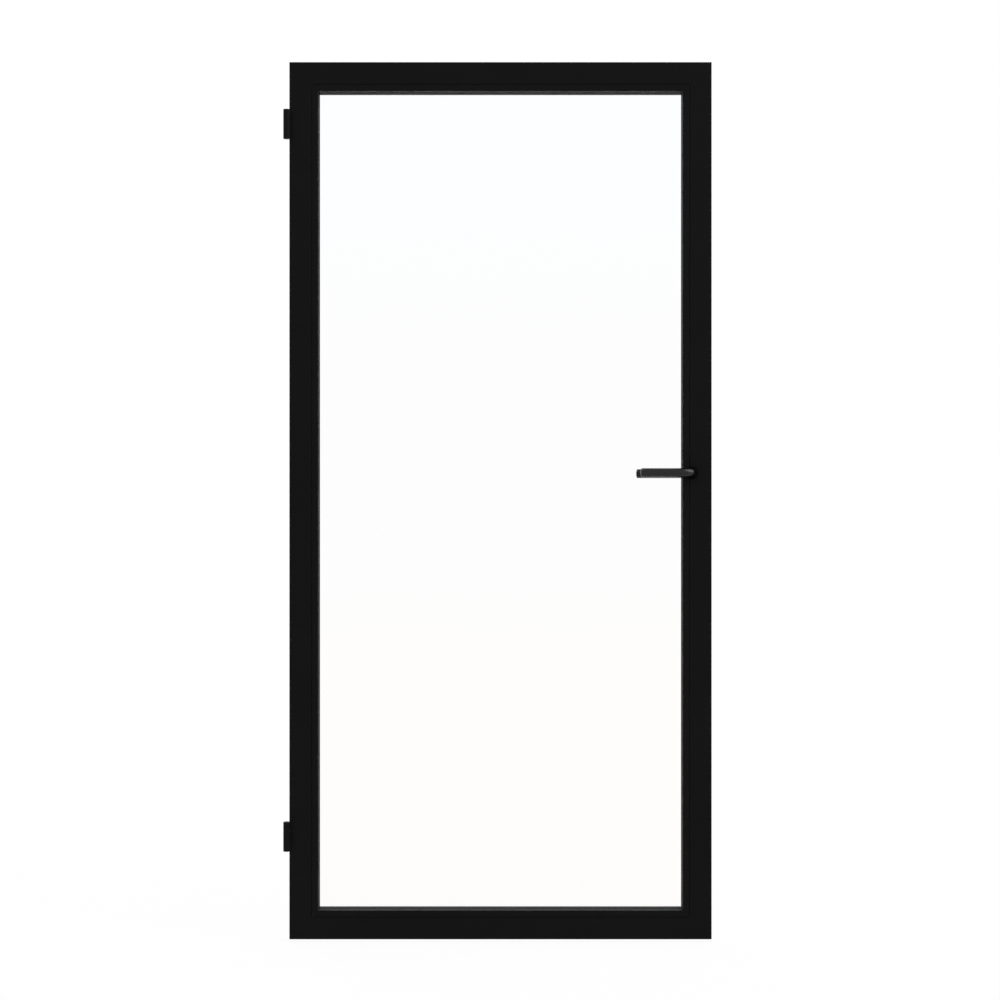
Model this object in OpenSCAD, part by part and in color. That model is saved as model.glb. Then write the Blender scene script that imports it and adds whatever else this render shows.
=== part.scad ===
// Single-leaf glass door: a slim black aluminium frame round one clear pane, with two barrel
// hinges, a latch lock and a round lever on each face.
// +Z is up, the front face looks to -Y and the hinges are on the -X edge.
// The origin lies under the middle of the leaf.

/* [Leaf] */
// Width of the leaf over its frame
leaf_w = 970; // [800:1:1100]
// Height of the leaf
leaf_h = 2015; // [1900:1:2300]
// Thickness of the leaf
leaf_t = 45; // [42:0.5:50]
// Width of the frame on the front face, the same on all four sides
face_w = 66; // [62:0.5:80]
// Wall of the hollow frame section
wall = 2.2; // [1.8:0.1:2.6]

/* [Glazing] */
// Thickness of the pane
glass_t = 8; // [6:0.5:10]
// Space between the edge of the pane and the floor of its pocket
edge_gap = 2.5; // [2:0.1:3.5]
// Height of the glazing pocket above its floor
pocket_h = 9.5; // [9:0.1:12]
// Thickness of each gasket
gasket_t = 3; // [2.5:0.1:4]
// How far each gasket stops short of the inner edge of the frame
gasket_recess = 0.5; // [0.2:0.1:1.5]
// Width of the seat that the bead's lip lies on
seat_w = 5.5; // [4:0.1:7]
// Thickness of the bead's lip
lip_t = 2.5; // [2:0.1:3]
// Wall of the hollow bead
bead_wall = 1.8; // [1.2:0.1:2]
// Open joint between the bead and the frame on the front face
bead_joint = 0.5; // [0.3:0.1:1]
// Height of the snap rib under the bead
snap_h = 0.9; // [0.6:0.1:1.1]
// Length of each packer round the pane
block_l = 80; // [40:1:120]

/* [Hinges] */
// Diameter of the hinge barrel
barrel_d = 16; // [15:0.5:20]
// Height of the hinge barrel
barrel_h = 67; // [62:1:90]
// Height of the middle knuckle
knuckle_h = 21; // [18:0.5:26]
// Diameter of the hinge pin
pin_d = 8; // [6:0.5:9]
// Thickness of each hinge plate
plate_t = 4; // [3.5:0.1:4.5]
// Space between the two plates of a closed hinge
plate_gap = 2; // [1.5:0.1:3]
// Height of each hinge plate
plate_h = 52; // [48:0.5:56]
// Depth of each hinge plate across the edge of the leaf
plate_d = 30; // [28:0.5:32]
// Centre of the upper hinge below the top of the leaf
upper_hinge_drop = 144; // [140:1:250]
// Centre of the lower hinge above the bottom of the leaf
lower_hinge_rise = 237.5; // [150:0.5:300]
// Thickness of the washers between the knuckles
washer_t = 1; // [0.8:0.1:1.5]
// Diameter of the hinge screws
hinge_screw_d = 5; // [4:0.5:5]

/* [Handle] */
// Height of the lever above the bottom of the leaf
handle_h = 1071; // [950:1:1150]
// Diameter of the lever's round bar
lever_d = 21; // [18:0.5:22]
// Reach of the lever from the spindle to its tip
lever_reach = 121; // [100:1:140]
// Distance from the face of the leaf to the middle of the lever's bar
lever_standoff = 43; // [38:0.5:50]
// Straight neck of the lever between the rose and the bend
neck_l = 10; // [3:0.5:14]
// Side of the square spindle
spindle_a = 7; // [6:0.5:7]
// Diameter of the rose
rose_d = 28; // [24:0.5:32]
// Thickness of the rose
rose_t = 5; // [4:0.5:7]

/* [Lock] */
// Radius of the follower's hub
hub_r = 6.9; // [6.6:0.1:7.2]
// Sheet of the lock case and its cover
sheet = 1.2; // [1:0.1:1.4]
// Inner thickness of the lock case
case_inside = 13; // [12:0.5:16]
// Case above the spindle
case_above = 44; // [42:1:60]
// Case below the spindle
case_below = 36; // [32:1:50]
// Width of the forend
forend_w = 22; // [20:0.5:24]
// How far the forend runs past the case at each end
forend_over = 25; // [22:0.5:35]
// Height of the latch bolt
bolt_h = 26; // [20:1:28]
// Length of the latch bolt behind the forend's face
bolt_l = 22; // [18:0.5:23]

/* [Hidden] */

$fn = 48;
black = "#1c1c1d";
steel = "#9a9c9e";
zinc = "#b4b3ac";
rubber = "#121213";
nylon = "#d8d5cb";

// Clearances
slip = 0.2;          // hand-fitted pieces that stay put
run = 0.05;          // radial clearance of turning fits
free = 0.4;          // moving pieces that pass each other
over = 1;            // how far a cutter runs past the surface it cuts

// Frame section: in from the leaf's edge, and back from the middle of its thickness
front = -leaf_t / 2;
back = leaf_t / 2;
hinge_edge = -leaf_w / 2;
floor_in = face_w - pocket_h;
joint_in = floor_in - seat_w;
seat = front + lip_t;
stop = glass_t / 2 + gasket_t;
glass_in = floor_in + edge_gap;
snap_t = 1.5;
snap_at = (seat - stop) / 2;
chamber_in = floor_in - wall;

// Lock and handle: the spindle sits as far in as the hollow stile lets the follower turn
spindle_in = chamber_in - slip - sheet - free - hub_r;
spindle_x = leaf_w / 2 - spindle_in;
case_in = chamber_in - slip;
case_w = case_inside + 2 * sheet;
boss_r = hub_r - 0.9;
square_hole = spindle_a + 2 * run;
wall_hole_r = spindle_a * sqrt(2) / 2 + free;
journal_r = boss_r;
grip_l = 25;         // spindle held inside each lever
bend_r = lever_standoff - rose_t - neck_l;
grub_d = 5;
grub_from_face = rose_t + 8;
edge_break = 1;      // chamfer on the ends of bars and barrels

// Follower and latch, from the spindle's axis
turn = 40;           // how far the lever turns
arm_r = 20;
arm_w = 6;
arm_t = 6;
arm_lean = 35;       // lean of the arm towards the lock edge at rest
lobe_r = 16;
lobe_w = 5;
lobe_lean = 15;      // lean of the lower lobe away from the lock edge at rest
bolt_t = case_inside - 1;
bolt_mid = 16;       // middle of the bolt above the spindle
tail_t = 1.5;
tail_low = 15;
tail_high = 20;
lug_high = 30;
// the lug stands just past the arm's tip at full turn
lug_in = spindle_in + arm_r * sin(turn - arm_lean) + arm_w / 2 + free;
lug_t = 1.8;
latch_spring_z = lug_high - 3;
latch_tab_in = bolt_l + 7;
lobe_tip_z = -lobe_r * cos(lobe_lean);
lobe_face_in = spindle_in + lobe_r * sin(lobe_lean) - lobe_w / 2;
follower_tab_in = lobe_face_in - 28;
tab_t = 2;

// Hinges
barrel_r = barrel_d / 2;
hinge_out = plate_t + plate_gap / 2;
knuckle_clear = 0.6;
hinge_proud = sqrt(pow(barrel_r + knuckle_clear, 2) - pow(hinge_out, 2));
hinge_x = hinge_edge - hinge_out;
hinge_y = front - hinge_proud;
end_knuckle_h = (barrel_h - knuckle_h - 2 * washer_t) / 2;
plate_y = hinge_y + barrel_r + knuckle_clear;
screw_from_edge = 8;
screw_rows = [plate_y + screw_from_edge, plate_y + plate_d - screw_from_edge];
// the two plates have their screws at different levels, so that no two heads meet
jamb_screw_from_end = 9;
leaf_screw_from_end = 15;
jamb_screws = [-plate_h / 2 + jamb_screw_from_end, plate_h / 2 - jamb_screw_from_end];
leaf_screws = [-plate_h / 2 + leaf_screw_from_end, plate_h / 2 - leaf_screw_from_end];
hinge_levels = [leaf_h - upper_hinge_drop, lower_hinge_rise];
nut_t = 4;
screw_slack = 0.15;

// Forend screws
forend_screw_d = 4;
forend_screw_levels = [-case_below - forend_over / 2, case_above + forend_over / 2];
forend_nut_t = 3;
cover_screw_d = 3;
post_inset = 5;

// Placing: a side is drawn with its outer edge on x = 0, its inside towards +X and its length up Z
module on_hinge_side() { translate([hinge_edge, 0, 0]) children(); }
module on_lock_side() { mirror([1, 0, 0]) on_hinge_side() children(); }
module on_bottom() { translate([leaf_w / 2, 0, 0]) rotate([0, -90, 0]) children(); }
module on_top() { translate([0, 0, leaf_h]) mirror([0, 0, 1]) on_bottom() children(); }

// Lock pieces are drawn with x = 0 on the lock edge, +X into the leaf and z = 0 on the spindle
module in_lock() { translate([leaf_w / 2, 0, handle_h]) mirror([1, 0, 0]) children(); }

// A length of section with both ends cut at 45 degrees from the leaf's corners
module mitred(length) {
  intersection() {
    linear_extrude(length) children();
    translate([0, leaf_t, 0]) rotate([90, 0, 0]) linear_extrude(2 * leaf_t)
      polygon([[0, 0], [face_w, face_w], [face_w, length - face_w], [0, length]]);
  }
}

// Sections
module frame_section() {
  difference() {
    union() {
      translate([0, front]) square([joint_in, leaf_t]);
      translate([0, seat]) square([floor_in, back - seat]);
      translate([0, stop]) square([face_w, back - stop]);
    }
    translate([wall, front + wall]) square([joint_in - 2 * wall, leaf_t - 2 * wall]);
    translate([wall, seat + wall]) square([chamber_in - wall, back - seat - 2 * wall]);
    translate([floor_in, stop + wall]) square([pocket_h - wall, back - stop - 2 * wall]);
    // groove for the bead's snap rib
    translate([floor_in - snap_h - slip, snap_at - snap_t / 2 - slip])
      square([snap_h + slip + over, snap_t + 2 * slip]);
  }
}

module bead_section() {
  foot = floor_in + slip;
  difference() {
    union() {
      translate([joint_in + bead_joint, front]) square([face_w - joint_in - bead_joint, lip_t]);
      translate([foot, front]) square([face_w - foot, -stop - front]);
      translate([floor_in - snap_h, snap_at - snap_t / 2]) square([snap_h + slip + bead_wall, snap_t]);
    }
    translate([foot + bead_wall, front + bead_wall])
      square([face_w - foot - 2 * bead_wall, -stop - front - 2 * bead_wall]);
  }
}

module gasket_section() {
  translate([glass_in, glass_t / 2]) square([face_w - gasket_recess - glass_in, gasket_t]);
}

// Leaf frame
module stile() { mitred(leaf_h) frame_section(); }
module rail() { mitred(leaf_w) frame_section(); }

module hinge_stile() {
  color(black) difference() {
    on_hinge_side() stile();
    for (level = hinge_levels) hinge_screw_holes(level, leaf_screws, hinge_edge - over, wall + 2 * over);
  }
}

module lock_stile() {
  color(black) difference() {
    on_lock_side() stile();
    in_lock() translate([-over, 0, 0]) forend_plate(wall + 2 * over, slip);
    in_lock() spindle_bore(wall_hole_r, leaf_t);
  }
}

module top_rail() { color(black) on_top() rail(); }
module bottom_rail() { color(black) on_bottom() rail(); }

module spindle_bore(r, length) {
  translate([spindle_in, 0, 0]) rotate([90, 0, 0]) cylinder(r = r, h = length + 2 * over, center = true);
}

// A corner cleat, drawn in the corner at the hinge side's foot
module cleat() {
  inset = wall + slip;
  leg_w = joint_in - 2 * inset;
  leg_l = 95;
  rib = 5;
  deep = leaf_t - 2 * inset;
  window = leg_w - 2 * rib;
  color(steel) translate([inset, deep / 2, inset]) rotate([90, 0, 0]) linear_extrude(deep) difference() {
    union() {
      square([leg_w, leg_l]);
      square([leg_l, leg_w]);
    }
    translate([rib, rib]) square(window);
    translate([rib, leg_w]) square([window, leg_l - leg_w - rib]);
    translate([leg_w, rib]) square([leg_l - leg_w - rib, window]);
  }
}

module bottom_hinge_side_cleat() { on_hinge_side() cleat(); }
module bottom_lock_side_cleat() { on_lock_side() cleat(); }
module top_hinge_side_cleat() { translate([0, 0, leaf_h]) mirror([0, 0, 1]) on_hinge_side() cleat(); }
module top_lock_side_cleat() { translate([0, 0, leaf_h]) mirror([0, 0, 1]) on_lock_side() cleat(); }

// Glazing
module glass_pane() {
  color("#e9f2f2", 0.35) translate([hinge_edge + glass_in, -glass_t / 2, glass_in])
    cube([leaf_w - 2 * glass_in, glass_t, leaf_h - 2 * glass_in]);
}

module hinge_side_bead() { color(black) on_hinge_side() mitred(leaf_h) bead_section(); }
module lock_side_bead() { color(black) on_lock_side() mitred(leaf_h) bead_section(); }
module top_bead() { color(black) on_top() mitred(leaf_w) bead_section(); }
module bottom_bead() { color(black) on_bottom() mitred(leaf_w) bead_section(); }

module rear_gasket() {
  color(rubber) {
    on_hinge_side() mitred(leaf_h) gasket_section();
    on_lock_side() mitred(leaf_h) gasket_section();
    on_top() mitred(leaf_w) gasket_section();
    on_bottom() mitred(leaf_w) gasket_section();
  }
}

module front_gasket() { color(rubber) mirror([0, 1, 0]) rear_gasket(); }

// Packers: two to a side, a fifth of the side in from each corner
module side_blocks(length) {
  for (share = [0.2, 0.8])
    translate([floor_in, -glass_t / 2 - gasket_t / 2, share * length - block_l / 2])
      cube([edge_gap, glass_t + gasket_t, block_l]);
}

module setting_blocks() { color(nylon) on_bottom() side_blocks(leaf_w); }

module location_blocks() {
  color(nylon) {
    on_hinge_side() side_blocks(leaf_h);
    on_lock_side() side_blocks(leaf_h);
    on_top() side_blocks(leaf_w);
  }
}

// Hinges. A round bar with its end edges broken
module broken_bar(r, length, low = true, high = true) {
  cut_low = low ? edge_break : 0;
  cut_high = high ? edge_break : 0;
  if (low) cylinder(r1 = r - edge_break, r2 = r, h = edge_break);
  translate([0, 0, cut_low]) cylinder(r = r, h = length - cut_low - cut_high);
  if (high) translate([0, 0, length - edge_break]) cylinder(r1 = r, r2 = r - edge_break, h = edge_break);
}

module at_hinge(level) { translate([hinge_x, hinge_y, level]) children(); }

// The four screw holes of a hinge plate, running along +X from a given place
module hinge_screw_holes(level, screws, from_x, length) {
  for (row = screw_rows, dz = screws)
    translate([from_x, row, level + dz]) rotate([0, 90, 0])
      cylinder(d = hinge_screw_d + 2 * screw_slack, h = length);
}

module countersinks(level, screws, from_x, way) {
  head_r = hinge_screw_d + slip;
  deep = hinge_screw_d / 2;
  for (row = screw_rows, dz = screws)
    translate([from_x, row, level + dz]) rotate([0, 90 * way, 0])
      cylinder(r1 = head_r, r2 = head_r - deep, h = deep);
}

// A flat hinge plate whose face lies at face_x, with a web out to its knuckles
module hinge_plate(level, face_x, web_levels) {
  translate([face_x, plate_y, level - plate_h / 2]) cube([plate_t, plate_d, plate_h]);
  for (w = web_levels)
    translate([face_x, hinge_y, level + w[0]]) cube([plate_t, plate_y - hinge_y + over, w[1] - w[0]]);
}

module pin_bore(level) {
  at_hinge(level) cylinder(r = pin_d / 2 + run, h = barrel_h + 2 * over, center = true);
}

module hinge_leaf_plate(level) {
  plate_x = hinge_edge - plate_t;
  color(black) difference() {
    union() {
      hinge_plate(level, plate_x, [[-knuckle_h / 2, knuckle_h / 2]]);
      at_hinge(level) cylinder(r = barrel_r, h = knuckle_h, center = true);
    }
    pin_bore(level);
    hinge_screw_holes(level, leaf_screws, plate_x - over, plate_t + 2 * over);
    countersinks(level, leaf_screws, plate_x, 1);
  }
}

module hinge_jamb_plate(level) {
  plate_x = hinge_x - hinge_out;
  knuckle_low = knuckle_h / 2 + washer_t;
  color(black) difference() {
    union() {
      hinge_plate(level, plate_x, [[-plate_h / 2, -knuckle_low], [knuckle_low, plate_h / 2]]);
      at_hinge(level) translate([0, 0, knuckle_low]) broken_bar(barrel_r, end_knuckle_h, low = false);
      at_hinge(level) translate([0, 0, -barrel_h / 2]) broken_bar(barrel_r, end_knuckle_h, high = false);
    }
    pin_bore(level);
    hinge_screw_holes(level, jamb_screws, plate_x - over, plate_t + 2 * over);
    countersinks(level, jamb_screws, plate_x + plate_t, -1);
  }
}

module hinge_pin(level) {
  color(steel) at_hinge(level) translate([0, 0, -barrel_h / 2]) broken_bar(pin_d / 2, barrel_h);
}

module hinge_washers(level) {
  color(nylon) at_hinge(level) for (way = [-1, 1])
    translate([0, 0, way * (knuckle_h + washer_t) / 2]) difference() {
      cylinder(r = barrel_r - slip, h = washer_t, center = true);
      cylinder(r = pin_d / 2 + run, h = washer_t + over, center = true);
    }
}

// A countersunk screw along +X with its head flush on x = 0 and a hexagon socket
module countersunk_screw(d, length) {
  head = d / 2;
  rotate([0, 90, 0]) difference() {
    union() {
      cylinder(r1 = d, r2 = d / 2, h = head);
      cylinder(d = d, h = length);
    }
    translate([0, 0, -over]) cylinder(d = 0.6 * d, h = head + over, $fn = 6);
  }
}

module hinge_screws(level) {
  plate_x = hinge_edge - plate_t;
  color(black) for (row = screw_rows, dz = leaf_screws)
    translate([plate_x, row, level + dz]) countersunk_screw(hinge_screw_d, plate_t + wall + nut_t);
}

module hinge_nut_plate(level) {
  low = front + wall + free;
  high = screw_rows[1] + screw_from_edge;
  color(steel) difference() {
    translate([hinge_edge + wall, low, level - plate_h / 2]) cube([nut_t, high - low, plate_h]);
    for (row = screw_rows, dz = leaf_screws)
      translate([hinge_edge, row, level + dz]) rotate([0, 90, 0])
        cylinder(d = hinge_screw_d + 2 * run, h = wall + nut_t + over);
  }
}

module upper_hinge_leaf_plate() { hinge_leaf_plate(hinge_levels[0]); }
module upper_hinge_jamb_plate() { hinge_jamb_plate(hinge_levels[0]); }
module upper_hinge_pin() { hinge_pin(hinge_levels[0]); }
module upper_hinge_washers() { hinge_washers(hinge_levels[0]); }
module upper_hinge_screws() { hinge_screws(hinge_levels[0]); }
module upper_hinge_nut_plate() { hinge_nut_plate(hinge_levels[0]); }
module lower_hinge_leaf_plate() { hinge_leaf_plate(hinge_levels[1]); }
module lower_hinge_jamb_plate() { hinge_jamb_plate(hinge_levels[1]); }
module lower_hinge_pin() { hinge_pin(hinge_levels[1]); }
module lower_hinge_washers() { hinge_washers(hinge_levels[1]); }
module lower_hinge_screws() { hinge_screws(hinge_levels[1]); }
module lower_hinge_nut_plate() { hinge_nut_plate(hinge_levels[1]); }

// Lock. The forend is a plate with round ends, grown by a margin where it cuts its own opening
module forend_plate(thick, margin) {
  r = forend_w / 2 + margin;
  low = -case_below - forend_over + forend_w / 2;
  high = case_above + forend_over - forend_w / 2;
  rotate([0, 90, 0]) {
    for (z = [low, high]) translate([-z, 0, 0]) cylinder(r = r, h = thick);
    translate([-high, -r, 0]) cube([high - low, 2 * r, thick]);
  }
}

module forend() {
  bolt_hole = [wall + 2 * over, bolt_t + 2 * slip, bolt_h + 2 * slip];
  color(black) in_lock() difference() {
    forend_plate(wall, 0);
    translate([-over, -bolt_hole[1] / 2, bolt_mid - bolt_hole[2] / 2]) cube(bolt_hole);
    for (z = forend_screw_levels) translate([0, 0, z]) rotate([0, 90, 0]) {
      translate([0, 0, -over]) cylinder(d = forend_screw_d + 2 * screw_slack, h = wall + 2 * over);
      cylinder(r1 = forend_screw_d + slip, r2 = forend_screw_d / 2 + slip, h = forend_screw_d / 2);
    }
  }
}

module forend_screws() {
  color(black) in_lock() for (z = forend_screw_levels)
    translate([0, 0, z]) countersunk_screw(forend_screw_d, wall + forend_nut_t);
}

module forend_nut_plates() {
  nut_w = forend_w + 6;
  nut_h = forend_over - 5;
  color(steel) in_lock() for (z = forend_screw_levels) difference() {
    translate([wall, -nut_w / 2, z - nut_h / 2]) cube([forend_nut_t, nut_w, nut_h]);
    translate([0, 0, z]) rotate([0, 90, 0])
      cylinder(d = forend_screw_d + 2 * run, h = wall + forend_nut_t + over);
  }
}

// Places of the posts that carry the cover, in the corners of the case
post_columns = [wall + post_inset, case_in - sheet - post_inset];
post_levels = [-case_below + post_inset, case_above - post_inset];
post_places = [for (x = post_columns, z = post_levels) [x, z]];

module lock_case() {
  case_l = case_in - wall;
  case_h = case_below + case_above;
  color(zinc) in_lock() {
    difference() {
      union() {
        difference() {
          translate([wall, -case_w / 2, -case_below]) cube([case_l, case_w - sheet, case_h]);
          translate([wall - over, -case_inside / 2, -case_below + sheet])
            cube([case_l - sheet + over, case_inside + over, case_h - 2 * sheet]);
        }
        for (p = post_places) translate([p[0], 0, p[1]]) rotate([90, 0, 0])
          cylinder(r = cover_screw_d, h = case_inside, center = true);
      }
      spindle_bore(boss_r + run, case_w);
      for (p = post_places) translate([p[0], 0, p[1]]) rotate([90, 0, 0])
        cylinder(d = cover_screw_d + 2 * run, h = case_w + 2 * over, center = true);
    }
    // tabs that the two springs bear on
    spring_tab(latch_tab_in, latch_spring_z);
    spring_tab(follower_tab_in, lobe_tip_z);
  }
}

module spring_tab(x, z) {
  tab_h = 8;
  tab_w = case_inside + sheet / 2 - tail_t - 1;
  translate([x, -case_inside / 2 - sheet / 2, z - tab_h / 2]) cube([tab_t, tab_w, tab_h]);
}

module lock_cover() {
  color(zinc) in_lock() difference() {
    translate([wall, case_inside / 2, -case_below]) cube([case_in - wall, sheet, case_below + case_above]);
    spindle_bore(boss_r + run, case_w);
    for (p = post_places) translate([p[0], 0, p[1]]) rotate([90, 0, 0])
      cylinder(d = cover_screw_d + 2 * screw_slack, h = case_w + 2 * over, center = true);
  }
}

module cover_screws() {
  screw_l = 8;
  head_h = 2;
  color(steel) in_lock() for (p = post_places)
    translate([p[0], case_w / 2, p[1]]) rotate([-90, 0, 0]) difference() {
      union() {
        cylinder(r = cover_screw_d, h = head_h);
        translate([0, 0, -screw_l]) cylinder(d = cover_screw_d, h = screw_l);
      }
      translate([0, 0, head_h / 2]) cylinder(d = 0.6 * cover_screw_d, h = head_h, $fn = 6);
    }
}

// A flat arm from the hub, of a given radius and width, at an angle from +X in the lock's plane
module hub_arm(length, width, angle) {
  rotate([90, -angle, 0]) translate([0, 0, -arm_t / 2]) {
    translate([0, -width / 2, 0]) cube([length, width, arm_t]);
    translate([length, 0, 0]) cylinder(d = width, h = arm_t);
  }
}

module follower() {
  hub_t = case_inside - free;
  color(zinc) in_lock() translate([spindle_in, 0, 0]) difference() {
    union() {
      rotate([90, 0, 0]) cylinder(r = hub_r, h = hub_t, center = true);
      rotate([90, 0, 0]) cylinder(r = boss_r, h = case_w, center = true);
      hub_arm(arm_r, arm_w, 90 + arm_lean);
      hub_arm(lobe_r, lobe_w, -90 + lobe_lean);
    }
    cube([square_hole, case_w + 2 * over, square_hole], center = true);
  }
}

module latch_bolt() {
  low = bolt_mid - bolt_h / 2;
  tail_y = bolt_t / 2 - tail_t;
  tail_l = lug_in + lug_t - bolt_l + over;
  color(zinc) in_lock() {
    translate([0, -bolt_t / 2, low]) cube([bolt_l, bolt_t, bolt_h]);
    translate([bolt_l - over, tail_y, tail_low]) cube([tail_l, tail_t, tail_high - tail_low]);
    translate([lug_in, -arm_t / 2, tail_low]) cube([lug_t, arm_t / 2 + bolt_t / 2, lug_high - tail_low]);
  }
}

// A coil spring along +X: rings of wire_sides points follow the helix
function coil_ring(i, steps, length, r, wire_r, turns, wire_sides) =
  let (a = 360 * turns * i / steps, x = wire_r + (length - 2 * wire_r) * i / steps)
  [
    for (k = [0 : wire_sides - 1])
      let (b = 360 * k / wire_sides, out = r + wire_r * cos(b))
      [x + wire_r * sin(b), out * cos(a), out * sin(a)]
  ];

module coil(length, r, wire_r, turns) {
  wire_sides = 6;
  steps = 12 * turns;
  rings = [for (i = [0 : steps]) coil_ring(i, steps, length, r, wire_r, turns, wire_sides)];
  points = [for (ring = rings) each ring];
  walls = [
    for (i = [0 : steps - 1], k = [0 : wire_sides - 1])
      let (n = (k + 1) % wire_sides, a = i * wire_sides, b = a + wire_sides)
      [a + k, a + n, b + n, b + k]
  ];
  first = [for (k = [wire_sides - 1 : -1 : 0]) k];
  last = [for (k = [0 : wire_sides - 1]) steps * wire_sides + k];
  polyhedron(points, concat([first], walls, [last]));
}

module follower_spring() {
  from = follower_tab_in + tab_t;
  color(steel) in_lock() translate([from, 0, lobe_tip_z]) coil(lobe_face_in - free - from, 4, 0.6, 6);
}

module latch_spring() {
  from = latch_tab_in + tab_t;
  color(steel) in_lock() translate([from, 0, latch_spring_z]) coil(lug_in - from, 2.4, 0.4, 6);
}

// Handle
module spindle() {
  color(steel) translate([spindle_x, 0, handle_h])
    cube([spindle_a, leaf_t + 2 * grip_l, spindle_a], center = true);
}

// A rose with a bore that the lever's journal turns in
module rose() {
  chamfer = 0.8;
  translate([spindle_x, front, handle_h]) rotate([90, 0, 0]) difference() {
    union() {
      cylinder(d = rose_d, h = rose_t - chamfer);
      translate([0, 0, rose_t - chamfer]) cylinder(d1 = rose_d, d2 = rose_d - 2 * chamfer, h = chamfer);
    }
    translate([0, 0, -over]) cylinder(r = journal_r + run, h = rose_t + 2 * over);
  }
}

module front_rose() { color(black) rose(); }
module rear_rose() { color(black) mirror([0, 1, 0]) rose(); }

// The lever, drawn from the face of the leaf at z = 0 out along +Z, with its bar towards -X
module lever_blank() {
  shoulder = rose_t + slip;
  bar_l = lever_reach - bend_r;
  translate([0, 0, slip]) cylinder(r = journal_r, h = rose_t + over);
  translate([0, 0, shoulder]) cylinder(d = lever_d, h = lever_standoff - bend_r - shoulder);
  translate([-bend_r, 0, lever_standoff - bend_r]) rotate([90, 0, 0])
    rotate_extrude(angle = 90) translate([bend_r, 0]) circle(d = lever_d);
  translate([-bend_r, 0, lever_standoff]) rotate([0, -90, 0]) broken_bar(lever_d / 2, bar_l, low = false);
}

module lever() {
  translate([spindle_x, front, handle_h]) rotate([90, 0, 0]) difference() {
    lever_blank();
    translate([-square_hole / 2, -square_hole / 2, -over])
      cube([square_hole, square_hole, grip_l + run + over]);
    translate([0, 0, grub_from_face]) rotate([90, 0, 0]) cylinder(d = grub_d + 2 * run, h = lever_d);
  }
}

module front_lever() { color(black) lever(); }
module rear_lever() { color(black) mirror([0, 1, 0]) lever(); }

module grub_screws() {
  length = lever_d / 2 - spindle_a / 2 - edge_break;
  color(steel) for (y = [front - grub_from_face, back + grub_from_face])
    translate([spindle_x, y, handle_h - spindle_a / 2 - length]) difference() {
      cylinder(d = grub_d, h = length);
      translate([0, 0, -over]) cylinder(d = grub_d / 2, h = length / 2 + over, $fn = 6);
    }
}

hinge_stile();
lock_stile();
top_rail();
bottom_rail();
top_hinge_side_cleat();
top_lock_side_cleat();
bottom_hinge_side_cleat();
bottom_lock_side_cleat();
glass_pane();
hinge_side_bead();
lock_side_bead();
top_bead();
bottom_bead();
front_gasket();
rear_gasket();
setting_blocks();
location_blocks();
upper_hinge_leaf_plate();
upper_hinge_jamb_plate();
upper_hinge_pin();
upper_hinge_washers();
upper_hinge_screws();
upper_hinge_nut_plate();
lower_hinge_leaf_plate();
lower_hinge_jamb_plate();
lower_hinge_pin();
lower_hinge_washers();
lower_hinge_screws();
lower_hinge_nut_plate();
lock_case();
lock_cover();
cover_screws();
forend();
forend_screws();
forend_nut_plates();
follower();
follower_spring();
latch_bolt();
latch_spring();
front_lever();
rear_lever();
spindle();
front_rose();
rear_rose();
grub_screws();
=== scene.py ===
from math import cos, pi, radians, sin, sqrt

import bmesh
import bpy
from mathutils import Matrix, Vector


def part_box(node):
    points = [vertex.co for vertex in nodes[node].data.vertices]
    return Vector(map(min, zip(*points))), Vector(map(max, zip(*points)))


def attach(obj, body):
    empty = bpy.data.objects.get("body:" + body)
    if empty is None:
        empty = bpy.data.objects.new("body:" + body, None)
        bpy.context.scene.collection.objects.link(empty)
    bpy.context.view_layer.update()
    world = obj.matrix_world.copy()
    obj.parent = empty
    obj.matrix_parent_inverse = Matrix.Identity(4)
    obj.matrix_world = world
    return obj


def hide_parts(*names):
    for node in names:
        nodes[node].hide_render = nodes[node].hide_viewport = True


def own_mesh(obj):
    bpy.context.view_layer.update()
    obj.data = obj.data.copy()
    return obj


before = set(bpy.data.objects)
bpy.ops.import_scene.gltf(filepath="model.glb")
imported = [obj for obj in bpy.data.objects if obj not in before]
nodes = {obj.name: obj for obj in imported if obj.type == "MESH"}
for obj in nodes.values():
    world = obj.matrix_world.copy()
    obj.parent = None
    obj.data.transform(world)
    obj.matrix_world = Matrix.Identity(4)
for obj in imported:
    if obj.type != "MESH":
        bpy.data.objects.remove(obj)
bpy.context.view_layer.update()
MM = 0.001

# Leaf and glazing, as the solids have them. A size that ends in IN runs inwards from the leaf's edge
LEAF_W = 970 * MM
LEAF_H = 2015 * MM
FRONT = -22.5 * MM        # front face of the leaf
BACK = 22.5 * MM          # back face
FACE_IN = 66 * MM         # width of the frame on its face
FLOOR_IN = 56.5 * MM      # floor of the glazing pocket
JOINT_IN = 51 * MM        # where the frame ends and the bead's lip begins
JOINT_GAP = 0.25 * MM     # between the frame and the lip
FOOT_GAP = 0.2 * MM       # between the pocket's floor and the bead's foot
SEAT = -20 * MM           # seat behind the bead's lip
STOP = 7 * MM             # face of the fixed glazing stop
GLASS_IN = 59 * MM        # edge of the pane
GLASS_HALF = 4 * MM       # half the pane's thickness
GASKET_IN = FACE_IN - 0.5 * MM

# Rounded edges
FRAME_EDGE_R = 0.8 * MM
JOINT_R = 2.2 * MM        # both sides of the joint between frame and bead
STOP_R = 0.5 * MM
BEAD_R = 1.8 * MM         # the bead's edge round the pane
BEAD_HEEL_R = 0.4 * MM
GASKET_R = 0.6 * MM
ARRIS = 0.8 * MM          # ground edge of the pane

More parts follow.
